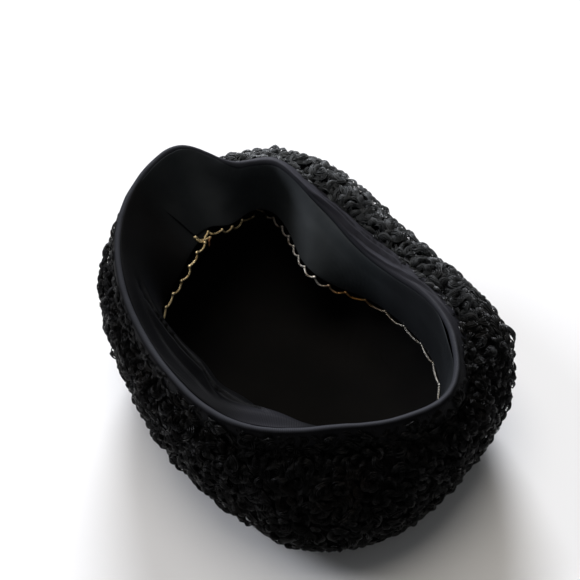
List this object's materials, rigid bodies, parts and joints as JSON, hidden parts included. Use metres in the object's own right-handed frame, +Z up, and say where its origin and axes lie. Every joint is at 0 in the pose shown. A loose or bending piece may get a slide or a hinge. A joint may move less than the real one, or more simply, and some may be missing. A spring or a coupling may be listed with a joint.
{
  "type": "fur pillbox hat",
  "caption": "Soft pillbox hat of black curled fur with a ribbon-bound opening, a wide sweatband edged with gilt thread, and a cloth lining, lying on its crown.",
  "frame": {"origin": "middle of the hat's outline on the surface that the crown rests on", "axes": "+Z up out of the head opening, +X along the longer way of the soft body, towards the end away from the sweatband's lap"},
  "size_m": [0.2202, 0.1853, 0.1],
  "materials": {
    "curled_fur": "glossy black curls",
    "grosgrain_ribbon": "fine ribbed, soft sheen",
    "gilt_thread": "worn metal thread",
    "lining_cloth": "matte"
  },
  "bodies": {
    "root": {"fur_side": "curled_fur", "fur_tip": "curled_fur", "rim_binding": "grosgrain_ribbon", "sweatband": "grosgrain_ribbon", "gilt_edging": "gilt_thread", "lining": "lining_cloth"}
  },
  "joints": []
}
